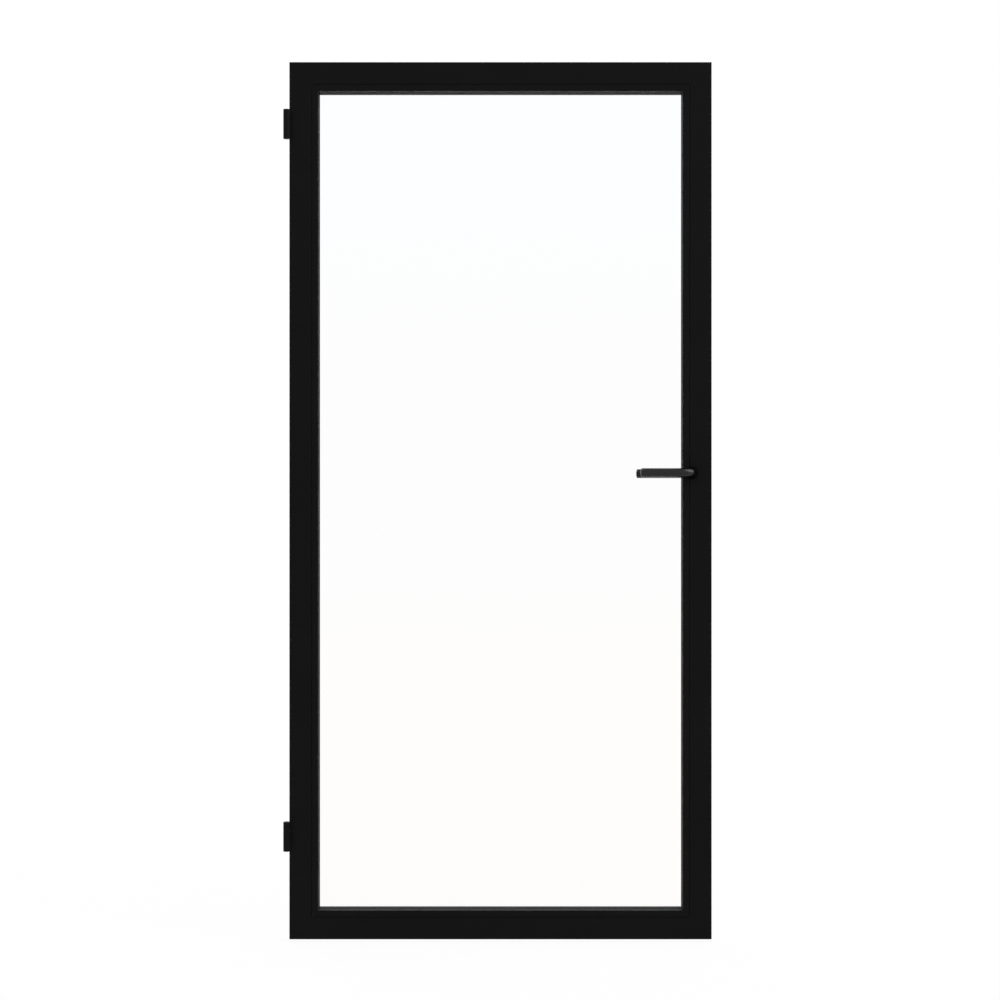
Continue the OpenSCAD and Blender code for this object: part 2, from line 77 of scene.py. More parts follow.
# Handle
SPINDLE = Vector((439.4 * MM, 0, 1071 * MM))
LEVER_R = 10.5 * MM
BEND_R = 28 * MM
STANDOFF = 43 * MM
REACH = 121 * MM
DOME = 3 * MM             # how far the lever's tip bulges
DOME_RINGS = 5            # the bulge is drawn ring by ring
RING_ANGLE = radians(15)
NECK_R = 0.5 * MM         # rounded edge of the lever's neck
NECK_GAP = 0.2 * MM       # between the neck and the rose
ROSE_R = 14 * MM
ROSE_T = 5 * MM
ROSE_EDGE_R = 0.8 * MM
GRUB_R = 2.55 * MM
GRUB_OUT = 8 * MM         # from the rose's face to the grub screw
GRUB_Y = FRONT - ROSE_T - GRUB_OUT
GRUB_END = 4 * MM         # where the screw's hole ends under the spindle's axis

# Opening for the forend, from the spindle's height
FOREND_LOW = SPINDLE.z - 50 * MM
FOREND_HIGH = SPINDLE.z + 58 * MM
FOREND_HALF = 11.2 * MM
FOREND_DEPTH = 2.2 * MM
OVER = 1 * MM             # how far a cutter stands out of what it cuts

# Hinges
BARREL_R = 8 * MM
BARREL_H = 67 * MM
BARREL_RUN = 0.6 * MM     # clearance round the barrel
KNUCKLE_H = 21 * MM
RIM_R = 0.5 * MM          # outer rims of a barrel
BROKEN_R = 0.12 * MM      # rims that face another knuckle
WASHER_T = 1 * MM
PLATE_T = 4 * MM
PLATE_H = 52 * MM
PLATE_D = 30 * MM
PLATE_GAP = 2 * MM        # between the plates of the closed hinge
PLATE_R = 4 * MM          # rounded corners
HINGE_OUT = PLATE_T + PLATE_GAP / 2    # from the leaf's edge to the hinge line
HINGE_FORE = sqrt((BARREL_R + BARREL_RUN) ** 2 - HINGE_OUT ** 2)    # clears the leaf's corner
HINGE = Vector((-LEAF_W / 2 - HINGE_OUT, FRONT - HINGE_FORE, 0))
PLATE_Y = HINGE.y + BARREL_R + BARREL_RUN
WEB_SUNK = 0.5 * MM       # how far a web reaches into its plate
SCREW_Y = (PLATE_Y + 8 * MM, PLATE_Y + 22 * MM)
JAMB_SCREW_Z = (-17 * MM, 17 * MM)
LEAF_SCREW_Z = (-11 * MM, 11 * MM)
SCREW_HOLE_R = 2.65 * MM
SINK_R = 5.2 * MM         # mouth of a countersink
SINK_END_R = 2.7 * MM
SINK_T = 2.5 * MM
SINK_PROUD = 0.01 * MM    # how far the countersink's cutter stands out
LEVELS = {"upper": 1871 * MM, "lower": 237.5 * MM}

# Springs of the lock
SPRING_TURNS = 6
SPRINGS = (                # node, wire radius, joint that presses it, how far
    ("latch_spring", 0.4 * MM, "latch_slide", 11 * MM),
    ("follower_spring", 0.6 * MM, "lever_turn", 10.7 * MM),
)

# How fine the meshes are
NEAR = 0.02 * MM          # two levels this close are one
WELD = 0.01 * MM
BAR_SIDES = 64
ROSE_SIDES = 96
HOLE_SIDES = 32
WIRE_SIDES = 12
BEND_STEPS = 20
COIL_STEPS = 24
CREASE = radians(35)


# Small tools for modelling by hand

def work_on(piece):
    """Only this piece is selected, and it is open in edit mode."""
    take(piece)
    bpy.ops.object.mode_set(mode="EDIT")
    bpy.ops.mesh.select_all(action="SELECT")


def leave():
    """Back from edit mode."""
    bpy.ops.object.mode_set(mode="OBJECT")


def take(piece):
    """Only this piece is selected and active."""
    bpy.ops.object.select_all(action="DESELECT")
    bpy.context.view_layer.objects.active = piece
    piece.select_set(True)


def pick_faces(piece, test):
    """Selects the faces that test(centre, normal) accepts."""
    bpy.ops.mesh.select_mode(type="FACE")
    mesh = bmesh.from_edit_mesh(piece.data)
    mesh.normal_update()
    for face in mesh.faces:
        face.select_set(bool(test(face.calc_center_median(), face.normal)))
    bmesh.update_edit_mesh(piece.data)


def pick_edges(piece, test):
    """Selects the edges that test(one end, other end) accepts."""
    bpy.ops.mesh.select_mode(type="EDGE")
    mesh = bmesh.from_edit_mesh(piece.data)
    for edge in mesh.edges:
        edge.select_set(False)
    for edge in mesh.edges:
        if test(edge.verts[0].co, edge.verts[1].co):
            edge.select_set(True)
    bmesh.update_edit_mesh(piece.data)


def near(a, b):
    """Whether two levels count as one."""
    return abs(a - b) < NEAR


def round_edges(piece, test, radius, segments):
    """Rounds the edges that test(one end, other end) accepts."""
    work_on(piece)
    pick_edges(piece, test)
    bpy.ops.mesh.bevel(offset=radius, segments=segments, affect="EDGES")
    leave()


def draw_out(x=0, y=0):
    """Extrudes what is selected."""
    bpy.ops.mesh.extrude_region_move(TRANSFORM_OT_translate={"value": (x, y, 0)})


def added(primitive, **settings):
    """A new primitive, with its place in its mesh."""
    bpy.ops.object.select_all(action="DESELECT")
    primitive(**settings)
    bpy.ops.object.transform_apply(location=True, rotation=True, scale=True)
    return bpy.context.object


def block(low, high):
    """A cube drawn out between two corners."""
    low, high = Vector(low), Vector(high)
    return added(bpy.ops.mesh.primitive_cube_add, size=1, location=(low + high) / 2, scale=high - low)


def round_bar(radius, low, high, axis, centre, sides=BAR_SIDES):
    """A cylinder between two levels on an axis."""
    middle = (low + high) / 2
    place = {"Z": (centre[0], centre[1], middle), "Y": (centre[0], middle, centre[1]),
             "X": (middle, centre[0], centre[1])}[axis]
    turn = {"Z": (0, 0, 0), "Y": (pi / 2, 0, 0), "X": (0, pi / 2, 0)}[axis]
    return added(bpy.ops.mesh.primitive_cylinder_add, vertices=sides, radius=radius, depth=high - low,
                 location=place, rotation=turn)


def cut(piece, cutter):
    """Takes the cutter's shape out of the piece and throws the cutter away."""
    modifier = piece.modifiers.new("cut", "BOOLEAN")
    modifier.operation = "DIFFERENCE"
    modifier.solver = "EXACT"
    modifier.object = cutter
    take(piece)
    bpy.ops.object.modifier_apply(modifier=modifier.name)
    bpy.data.objects.remove(cutter)


def joined(pieces):
    """Several shapes as one mesh."""
    bpy.ops.object.select_all(action="DESELECT")
    for piece in pieces:
        piece.select_set(True)
    bpy.context.view_layer.objects.active = pieces[0]
    bpy.ops.object.join()
    return bpy.context.object


def moved(piece, matrix):
    """Puts the mesh in its place; a mirrored one gets its faces turned out again."""
    piece.data.transform(matrix)
    work_on(piece)
    bpy.ops.mesh.normals_make_consistent(inside=False)
    leave()
    return piece


def twin(piece):
    """A copy with a mesh of its own."""
    other = piece.copy()
    other.data = piece.data.copy()
    bpy.context.collection.objects.link(other)
    return other


def settle(piece, name, body, slot, finish, *replaced):
    """Names a finished piece, gives it its finish and sets it on its body."""
    piece.name = name
    piece.data.name = name
    piece.data.materials.clear()
    piece.data.materials.append(finish)
    take(piece)
    bpy.ops.object.shade_smooth_by_angle(angle=CREASE)
    even = piece.modifiers.new("even", "WEIGHTED_NORMAL")
    even.keep_sharp = True
    bpy.ops.object.modifier_apply(modifier=even.name)
    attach(piece, body)
    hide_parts(*replaced)


# Finishes

def linear(code):
    """An sRGB hex colour as linear numbers with full alpha."""
    parts = [int(code[i:i + 2], 16) / 255 for i in (1, 3, 5)]
    return tuple(c / 12.92 if c <= 0.04045 else ((c + 0.055) / 1.055) ** 2.4 for c in parts) + (1.0,)


def put(tree, kind, settings=None, links=None):
    """Adds one node: settings by property or input name, a ramp's stops, and links by input name."""
    node = tree.nodes.new(kind)
    for key, value in (settings or {}).items():
        if key == "stops":
            elements = node.color_ramp.elements
            while len(elements) < len(value):
                elements.new(1.0)
            for element, (position, code) in zip(elements, value):
                element.position = position
                element.color = linear(code)
        elif isinstance(key, int) or key in node.inputs:
            node.inputs[key].default_value = value
        else:
            setattr(node, key, value)
    for key, source in (links or {}).items():
        tree.links.new(source, node.inputs[key])
    return node


def finish_named(name):
    """A new material, with nothing in its node tree."""
    material = bpy.data.materials.new(name)
    material.use_nodes = True
    material.node_tree.nodes.clear()
    return material, material.node_tree


# Matt black polyester powder coat, baked on aluminium: almost no colour of its own, a soft wide
# sheen, slow clouds in its tone, about 180 mm wide, and the faint orange peel of the flowed powder,
# about 2.5 mm from crest to crest.
powder_coat, tree = finish_named("matt_black_powder_coat")
at = put(tree, "ShaderNodeTexCoord")
peel = put(tree, "ShaderNodeTexNoise", {"Scale": 1 / (2.5 * MM), "Detail": 2.0, "Roughness": 0.5},
           {"Vector": at.outputs["Object"]})
cloud = put(tree, "ShaderNodeTexNoise", {"Scale": 1 / (180 * MM), "Detail": 3.0},
            {"Vector": at.outputs["Object"]})
tone = put(tree, "ShaderNodeValToRGB", {"stops": ((0.35, "#070708"), (0.65, "#0a0a0b"))},
           {"Fac": cloud.outputs["Fac"]})
gloss = put(tree, "ShaderNodeMapRange",
            {"From Min": 0.3, "From Max": 0.7, "To Min": 0.50, "To Max": 0.56},
            {"Value": peel.outputs["Fac"]})
skin = put(tree, "ShaderNodeBump", {"Strength": 0.05, "Distance": 0.02 * MM},
           {"Height": peel.outputs["Fac"]})
coat = put(tree, "ShaderNodeBsdfPrincipled",
           {"Specular IOR Level": 0.1, "Sheen Weight": 0.14, "Sheen Roughness": 0.3},
           {"Base Color": tone.outputs["Color"], "Roughness": gloss.outputs["Result"],
            "Normal": skin.outputs["Normal"]})
put(tree, "ShaderNodeOutputMaterial", None, {"Surface": coat.outputs["BSDF"]})

# Satin black lacquer on die-cast zinc, rubbed smooth: tighter reflections than the powder coat,
# clouds in its tone, about 30 mm wide, and hair-fine streaks left by polishing, drawn about 0.8 mm
# apart so that they can show.
satin_black, tree = finish_named("satin_black_lacquered_zinc")
at = put(tree, "ShaderNodeTexCoord")
stretch = put(tree, "ShaderNodeMapping", {"Scale": (0.06, 1.0, 1.0)}, {"Vector": at.outputs["Object"]})
streak = put(tree, "ShaderNodeTexNoise", {"Scale": 1 / (0.8 * MM), "Detail": 2.0},
             {"Vector": stretch.outputs["Vector"]})
cloud = put(tree, "ShaderNodeTexNoise", {"Scale": 1 / (30 * MM), "Detail": 2.0},
            {"Vector": at.outputs["Object"]})
tone = put(tree, "ShaderNodeValToRGB", {"stops": ((0.3, "#030303"), (0.7, "#040404"))},
           {"Fac": cloud.outputs["Fac"]})
gloss = put(tree, "ShaderNodeMapRange",
            {"From Min": 0.3, "From Max": 0.7, "To Min": 0.13, "To Max": 0.17},
            {"Value": streak.outputs["Fac"]})
lacquer = put(tree, "ShaderNodeBsdfPrincipled", {"Specular IOR Level": 0.42},
              {"Base Color": tone.outputs["Color"], "Roughness": gloss.outputs["Result"]})
put(tree, "ShaderNodeOutputMaterial", None, {"Surface": lacquer.outputs["BSDF"]})

# Clear toughened float glass: polished faces without colour, and the slow roller wave of
# toughening, about 300 mm long, in its reflections.
clear_glass, tree = finish_named("clear_toughened_float_glass")
at = put(tree, "ShaderNodeTexCoord")
wave = put(tree, "ShaderNodeTexNoise", {"Scale": 1 / (300 * MM), "Detail": 0.0},
           {"Vector": at.outputs["Object"]})
ripple = put(tree, "ShaderNodeBump", {"Strength": 0.02, "Distance": 0.2 * MM},
             {"Height": wave.outputs["Fac"]})
glass = put(tree, "ShaderNodeBsdfPrincipled",
            {"Base Color": linear("#ffffff"), "Roughness": 0.0, "IOR": 1.52, "Transmission Weight": 1.0},
            {"Normal": ripple.outputs["Normal"]})
put(tree, "ShaderNodeOutputMaterial", None, {"Surface": glass.outputs["BSDF"]})

# Extruded EPDM rubber: dull black with a faint cloudy bloom, about 6 mm wide.
gasket_rubber, tree = finish_named("extruded_epdm_rubber")
at = put(tree, "ShaderNodeTexCoord")
bloom = put(tree, "ShaderNodeTexNoise", {"Scale": 1 / (6 * MM), "Detail": 4.0},
            {"Vector": at.outputs["Object"]})
tone = put(tree, "ShaderNodeValToRGB", {"stops": ((0.35, "#1c1c1c"), (0.7, "#262626"))},
           {"Fac": bloom.outputs["Fac"]})
skin = put(tree, "ShaderNodeBump", {"Strength": 0.1, "Distance": 0.02 * MM},
           {"Height": bloom.outputs["Fac"]})
rubber = put(tree, "ShaderNodeBsdfPrincipled", {"Roughness": 0.42, "Specular IOR Level": 0.5},
             {"Base Color": tone.outputs["Color"], "Normal": skin.outputs["Normal"]})
put(tree, "ShaderNodeOutputMaterial", None, {"Surface": rubber.outputs["BSDF"]})

# Zinc-plated steel: bright grey with the cloudy crystal pattern of the plating, about 3 mm wide.
zinc_plate, tree = finish_named("zinc_plated_steel")
at = put(tree, "ShaderNodeTexCoord")
grain = put(tree, "ShaderNodeTexVoronoi", {"Scale": 1 / (3 * MM)}, {"Vector": at.outputs["Object"]})
tone = put(tree, "ShaderNodeValToRGB", {"stops": ((0.1, "#a9abad"), (0.8, "#bcbdbe"))},
           {"Fac": grain.outputs["Distance"]})
gloss = put(tree, "ShaderNodeMapRange", {"To Min": 0.28, "To Max": 0.42},
            {"Value": grain.outputs["Distance"]})
plating = put(tree, "ShaderNodeBsdfPrincipled", {"Metallic": 1.0},
              {"Base Color": tone.outputs["Color"], "Roughness": gloss.outputs["Result"]})
put(tree, "ShaderNodeOutputMaterial", None, {"Surface": plating.outputs["BSDF"]})

# Mill-finish aluminium, sawn from an extrusion: pale grey, with die lines about 1 mm apart that run
# through its depth.
mill_aluminium, tree = finish_named("mill_finish_aluminium")
at = put(tree, "ShaderNodeTexCoord")
stretch = put(tree, "ShaderNodeMapping", {"Scale": (1.0, 0.03, 1.0)}, {"Vector": at.outputs["Object"]})
line = put(tree, "ShaderNodeTexNoise", {"Scale": 1 / (1 * MM), "Detail": 3.0},
           {"Vector": stretch.outputs["Vector"]})
tone = put(tree, "ShaderNodeValToRGB", {"stops": ((0.3, "#bdbfc1"), (0.7, "#d2d3d4"))},
           {"Fac": line.outputs["Fac"]})
metal = put(tree, "ShaderNodeBsdfPrincipled", {"Metallic": 1.0, "Roughness": 0.4},
            {"Base Color": tone.outputs["Color"]})
put(tree, "ShaderNodeOutputMaterial", None, {"Surface": metal.outputs["BSDF"]})

# Black nylon, fine-eroded in its mould: takes the light and gives almost none back. Its pits are
# drawn about 0.6 mm wide so that they can show.
black_nylon, tree = finish_named("moulded_black_nylon")
at = put(tree, "ShaderNodeTexCoord")
pits = put(tree, "ShaderNodeTexNoise", {"Scale": 1 / (0.6 * MM), "Detail": 2.0},
           {"Vector": at.outputs["Object"]})
tone = put(tree, "ShaderNodeValToRGB", {"stops": ((0.3, "#040404"), (0.7, "#070707"))},
           {"Fac": pits.outputs["Fac"]})
nylon = put(tree, "ShaderNodeBsdfPrincipled", {"Roughness": 0.8, "Specular IOR Level": 0.04},
            {"Base Color": tone.outputs["Color"]})
put(tree, "ShaderNodeOutputMaterial", None, {"Surface": nylon.outputs["BSDF"]})

# Moulded nylon: off-white and waxy, with a faint mould bloom about 4 mm wide.
pale_nylon, tree = finish_named("moulded_nylon")
at = put(tree, "ShaderNodeTexCoord")
bloom = put(tree, "ShaderNodeTexNoise", {"Scale": 1 / (4 * MM), "Detail": 3.0},
            {"Vector": at.outputs["Object"]})
tone = put(tree, "ShaderNodeValToRGB", {"stops": ((0.3, "#d6d2c6"), (0.7, "#dedbd1"))},
           {"Fac": bloom.outputs["Fac"]})
nylon = put(tree, "ShaderNodeBsdfPrincipled", {"Roughness": 0.45}, {"Base Color": tone.outputs["Color"]})
put(tree, "ShaderNodeOutputMaterial", None, {"Surface": nylon.outputs["BSDF"]})

# The hidden and small solids keep their CAD shape
for names, finish in (
    (("top_hinge_side_cleat", "top_lock_side_cleat", "bottom_hinge_side_cleat", "bottom_lock_side_cleat"),
     mill_aluminium),
    (("setting_blocks", "location_blocks"), pale_nylon),
    (("upper_hinge_washers", "lower_hinge_washers", "forend"), powder_coat),
    (("upper_hinge_screws", "lower_hinge_screws", "forend_screws"), satin_black),
    (("upper_hinge_nut_plate", "lower_hinge_nut_plate", "upper_hinge_pin", "lower_hinge_pin",
      "lock_case", "lock_cover", "cover_screws", "forend_nut_plates", "follower", "latch_bolt",
      "spindle", "grub_screws"), zinc_plate),
):
    for name in names:
        nodes[name].data.materials.clear()
        nodes[name].data.materials.append(finish)


# Leaf frame. A side is drawn with its outer edge on x = 0, its inside towards +X and its length up Z
on_hinge_side = Matrix.Translation((-LEAF_W / 2, 0, 0))
on_lock_side = Matrix.Diagonal((-1, 1, 1, 1)) @ on_hinge_side
on_bottom = Matrix.Translation((LEAF_W / 2, 0, 0)) @ Matrix.Rotation(-pi / 2, 4, "Y")
on_top = Matrix.Translation((0, 0, LEAF_H)) @ Matrix.Diagonal((1, 1, -1, 1)) @ on_bottom
to_other_face = Matrix.Diagonal((1, -1, 1, 1))
SIDES = (                  # frame bar, its bead, length, place
    ("hinge_stile", "hinge_side_bead", LEAF_H, on_hinge_side),
    ("lock_stile", "lock_side_bead", LEAF_H, on_lock_side),
    ("top_rail", "top_bead", LEAF_W, on_top),
    ("bottom_rail", "bottom_bead", LEAF_W, on_bottom),
)


def mitre(piece, length):
    """Saws both ends at 45 degrees, from the corners of the leaf."""
    work_on(piece)
    bpy.ops.mesh.bisect(plane_co=(0, 0, 0), plane_no=(1, 0, -1), use_fill=True, clear_outer=True)
    bpy.ops.mesh.select_all(action="SELECT")
    bpy.ops.mesh.bisect(plane_co=(0, 0, length), plane_no=(1, 0, 1), use_fill=True, clear_outer=True)
    leave()


def soften(piece, corners, radius, segments):
    """Rounds the long edges that run through the given (x, y) corners of the section."""
    round_edges(piece, lambda a, b: near(a.x, b.x) and near(a.y, b.y)
                and any(near(a.x, x) and near(a.y, y) for x, y in corners), radius, segments=segments)


def frame_bar(length):
    """A bar of the frame: a box that reaches further in behind the bead, and again behind the pane."""
    piece = block((0, FRONT, 0), (JOINT_IN, BACK, length))
    work_on(piece)
    for level in (SEAT, STOP):
        bpy.ops.mesh.select_all(action="SELECT")
        bpy.ops.mesh.bisect(plane_co=(0, level, 0), plane_no=(0, 1, 0))
    pick_faces(piece, lambda c, n: n.x > 0.9 and c.y > SEAT)
    draw_out(x=FLOOR_IN - JOINT_IN)
    pick_faces(piece, lambda c, n: n.x > 0.9 and c.y > STOP)
    draw_out(x=FACE_IN - FLOOR_IN)
    leave()
    soften(piece, ((0, FRONT), (0, BACK)), FRAME_EDGE_R, segments=3)
    soften(piece, ((JOINT_IN, FRONT),), JOINT_R, segments=5)
    soften(piece, ((FACE_IN, BACK), (FACE_IN, STOP)), STOP_R, segments=3)
    mitre(piece, length)
    return piece


def glazing_bead(length):
    """A bead: a foot in the glazing pocket and a lip that closes the face."""
    lip = JOINT_IN + JOINT_GAP
    foot = FLOOR_IN + FOOT_GAP
    piece = block((foot, FRONT, 0), (FACE_IN, -STOP, length))
    work_on(piece)
    bpy.ops.mesh.bisect(plane_co=(0, SEAT, 0), plane_no=(0, 1, 0))
    pick_faces(piece, lambda c, n: n.x < -0.9 and c.y < SEAT)
    draw_out(x=lip - foot)
    leave()
    soften(piece, ((lip, FRONT),), JOINT_R, segments=5)
    soften(piece, ((FACE_IN, FRONT),), BEAD_R, segments=5)
    soften(piece, ((FACE_IN, -STOP),), BEAD_HEEL_R, segments=3)
    mitre(piece, length)
    return piece


def gasket_strip(length):
    """One side of the seal between the pane and the stop."""
    piece = block((GLASS_IN, GLASS_HALF, 0), (GASKET_IN, STOP, length))
    soften(piece, ((GASKET_IN, GLASS_HALF),), GASKET_R, segments=4)
    mitre(piece, length)
    return piece


def cut_forend_opening(bar):
    """Sinks an opening with round ends into the edge of the lock stile."""
    depth = (LEAF_W / 2 - FOREND_DEPTH, LEAF_W / 2 + OVER)
    cut(bar, block((depth[0], -FOREND_HALF, FOREND_LOW), (depth[1], FOREND_HALF, FOREND_HIGH)))
    for end in (FOREND_LOW, FOREND_HIGH):
        cut(bar, round_bar(FOREND_HALF, *depth, "X", (0, end)))


for bar_node, bead_node, length, place in SIDES:
    bar = moved(frame_bar(length), place)
    if bar_node == "lock_stile":
        cut_forend_opening(bar)
    settle(bar, bar_node + "_bar", "leaf", "black_powder_coat", powder_coat, bar_node)
    bead = moved(glazing_bead(length), place)
    settle(bead, bead_node + "_strip", "leaf", "black_powder_coat", powder_coat, bead_node)

# Glazing
rear_ring = joined([moved(gasket_strip(length), place) for _, _, length, place in SIDES])
front_ring = moved(twin(rear_ring), to_other_face)
settle(rear_ring, "rear_gasket_ring", "leaf", "black_rubber", gasket_rubber, "rear_gasket")
settle(front_ring, "front_gasket_ring", "leaf", "black_rubber", gasket_rubber, "front_gasket")

pane = block((-LEAF_W / 2 + GLASS_IN, -GLASS_HALF, GLASS_IN),
             (LEAF_W / 2 - GLASS_IN, GLASS_HALF, LEAF_H - GLASS_IN))
round_edges(pane, lambda a, b: True, ARRIS, segments=1)
settle(pane, "toughened_pane", "leaf", "clear_glass", clear_glass, "glass_pane")


# Hinges. Each plate is a flat strap that carries its knuckles
def countersunk_hole(plate, x, y, z, sink):
    """Drills a plate at x, with the wide mouth on its low side where sink is 1 and high where -1."""
    cut(plate, round_bar(SCREW_HOLE_R, x - OVER, x + PLATE_T + OVER, "X", (y, z), HOLE_SIDES))
    mouth = x if sink > 0 else x + PLATE_T
    cut(plate, added(bpy.ops.mesh.primitive_cone_add, vertices=HOLE_SIDES, radius1=SINK_R,
                     radius2=SINK_END_R, depth=SINK_T, rotation=(0, sink * pi / 2, 0),
                     location=(mouth + sink * (SINK_T / 2 - SINK_PROUD), y, z)))


def knuckle(low, high, rounded_ends):
    """A turned barrel with the rims in rounded_ends eased and the others barely broken."""
    piece = round_bar(BARREL_R, low, high, "Z", (HINGE.x, HINGE.y))
    for level, name in ((low, "low"), (high, "high")):
        radius = RIM_R if name in rounded_ends else BROKEN_R
        round_edges(piece, lambda a, b: near(a.z, level) and near(b.z, level), radius, segments=4)
    return piece


def strap(x, level, webs, knuckles, screw_z, sink):
    """A plate at x with its screw holes, its webs and its knuckles, all measured from the level."""
    far_y = PLATE_Y + PLATE_D
    plate = block((x, PLATE_Y, level - PLATE_H / 2), (x + PLATE_T, far_y, level + PLATE_H / 2))
    round_edges(plate, lambda a, b: near(a.y, far_y) and near(b.y, far_y) and near(a.z, b.z), PLATE_R,
                segments=5)
    for y in SCREW_Y:
        for dz in screw_z:
            countersunk_hole(plate, x, y, level + dz, sink)
    parts = [plate]
    for low, high in webs:
        parts.append(block((x, HINGE.y, level + low), (x + PLATE_T, PLATE_Y + WEB_SUNK, level + high)))
    for low, high, rounded_ends in knuckles:
        parts.append(knuckle(level + low, level + high, rounded_ends))
    return joined(parts)


for name, level in LEVELS.items():
    half = KNUCKLE_H / 2
    start = half + WASHER_T
    leaf_plate = strap(-LEAF_W / 2 - PLATE_T, level, [(-half, half)], [(-half, half, ())],
                       LEAF_SCREW_Z, sink=1)
    settle(leaf_plate, name + "_hinge_leaf_strap", "leaf", "black_hardware", powder_coat,
           name + "_hinge_leaf_plate")
    jamb_plate = strap(HINGE.x - HINGE_OUT, level, [(-PLATE_H / 2, -start), (start, PLATE_H / 2)],
                       [(-BARREL_H / 2, -start, ("low",)), (start, BARREL_H / 2, ("high",))],
                       JAMB_SCREW_Z, sink=-1)
    settle(jamb_plate, name + "_hinge_jamb_strap", "jamb_hinges", "black_hardware", powder_coat,
           name + "_hinge_jamb_plate")


# Handle. The lever is one round bar turned through a right angle, drawn on the front face
def lever_bar():
    """Neck, bend, straight grip and a tip that bulges a little, with the grub screw's hole."""
    neck_y = FRONT - ROSE_T - NECK_GAP
    bend_y = FRONT - STANDOFF + BEND_R
    piece = added(bpy.ops.mesh.primitive_circle_add, vertices=BAR_SIDES, radius=LEVER_R, fill_type="NGON",
                  location=(SPINDLE.x, neck_y, SPINDLE.z), rotation=(pi / 2, 0, 0))
    work_on(piece)
    draw_out(y=bend_y - neck_y)
    bpy.ops.mesh.spin(steps=BEND_STEPS, angle=radians(90), center=(SPINDLE.x - BEND_R, bend_y, SPINDLE.z),
                      axis=(0, 0, 1))
    draw_out(x=-(REACH - DOME - BEND_R))
    for ring in range(DOME_RINGS):
        last, now = ring * RING_ANGLE, (ring + 1) * RING_ANGLE
        draw_out(x=-DOME * (sin(now) - sin(last)))
        shrink = cos(now) / cos(last)
        bpy.ops.transform.resize(value=(1, shrink, shrink))
    bpy.ops.mesh.select_all(action="SELECT")
    bpy.ops.mesh.remove_doubles(threshold=WELD)
    bpy.ops.mesh.normals_make_consistent(inside=False)
    leave()
    round_edges(piece, lambda a, b: near(a.y, neck_y) and near(b.y, neck_y), NECK_R, segments=3)
    cut(piece, round_bar(GRUB_R, SPINDLE.z - 2 * LEVER_R, SPINDLE.z - GRUB_END, "Z",
                         (SPINDLE.x, GRUB_Y), HOLE_SIDES))
    return piece


def rose_disc():
    """A flat disc on the face, with its front edge rounded."""
    face = FRONT - ROSE_T
    piece = round_bar(ROSE_R, face, FRONT, "Y", (SPINDLE.x, SPINDLE.z), ROSE_SIDES)
    round_edges(piece, lambda a, b: near(a.y, face) and near(b.y, face), ROSE_EDGE_R, segments=4)
    return piece


front_lever = lever_bar()
rear_lever = moved(twin(front_lever), to_other_face)
front_rose = rose_disc()
rear_rose = moved(twin(front_rose), to_other_face)
settle(front_lever, "front_lever_bar", "handle", "black_hardware", satin_black, "front_lever")
settle(rear_lever, "rear_lever_bar", "handle", "black_hardware", satin_black, "rear_lever")
settle(front_rose, "front_rose_disc", "leaf", "black_hardware", black_nylon, "front_rose")
settle(rear_rose, "rear_rose_disc", "leaf", "black_hardware", black_nylon, "rear_rose")


# Springs of the lock: round wire wound along X, pressed towards its tab on the lock's edge side
def coil_spring(low, high, wire_r):
    """A coil that fills the box between two corners."""
    coil_r = (high.y - low.y) / 2 - wire_r
    piece = added(bpy.ops.mesh.primitive_circle_add, vertices=WIRE_SIDES, radius=wire_r,
                  location=(wire_r, coil_r, 0))
    wind = piece.modifiers.new("wind", "SCREW")
    wind.axis = "X"
    wind.iterations = SPRING_TURNS
    wind.screw_offset = (high.x - low.x - 2 * wire_r) / SPRING_TURNS
    wind.steps = COIL_STEPS
    wind.render_steps = COIL_STEPS
    bpy.ops.object.modifier_apply(modifier=wind.name)
    work_on(piece)
    bpy.ops.mesh.remove_doubles(threshold=WELD)
    bpy.ops.mesh.fill_holes(sides=0)
    leave()
    return moved(piece, Matrix.Translation((low.x, (low.y + high.y) / 2, (low.z + high.z) / 2)))


for node, wire_r, joint, pressed in SPRINGS:
    low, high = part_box(node)
    spring = coil_spring(low, high, wire_r)
    settle(spring, node + "_coil", "leaf", "plain_steel", zinc_plate, node)
    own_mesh(spring)


# Studio: a pale floor under the leaf, soft light and a white ground
FLOOR_SIZE = 900          # metres, so that its edge is far out of sight
FLOOR_DROP = 8 * MM       # gap under the leaf
SOFT_LEVEL = 0.75         # light of the room on matt surfaces


def in_view(tree):
    """1 for what the camera sees straight or through the pane, 0 for what only lights or shines."""
    path = put(tree, "ShaderNodeLightPath")
    unmirrored = put(tree, "ShaderNodeMath", {"operation": "LESS_THAN", 1: 0.5},
                     {0: path.outputs["Glossy Depth"]})
    through = put(tree, "ShaderNodeMath", {"operation": "MULTIPLY"},
                  {0: path.outputs["Is Transmission Ray"], 1: unmirrored.outputs[0]})
    return put(tree, "ShaderNodeMath", {"operation": "MAXIMUM"},
               {0: path.outputs["Is Camera Ray"], 1: through.outputs[0]})


bpy.ops.object.select_all(action="DESELECT")
bpy.ops.mesh.primitive_plane_add(size=FLOOR_SIZE, location=(0, 0, -FLOOR_DROP))
floor = bpy.context.object
floor.name = "studio_floor"
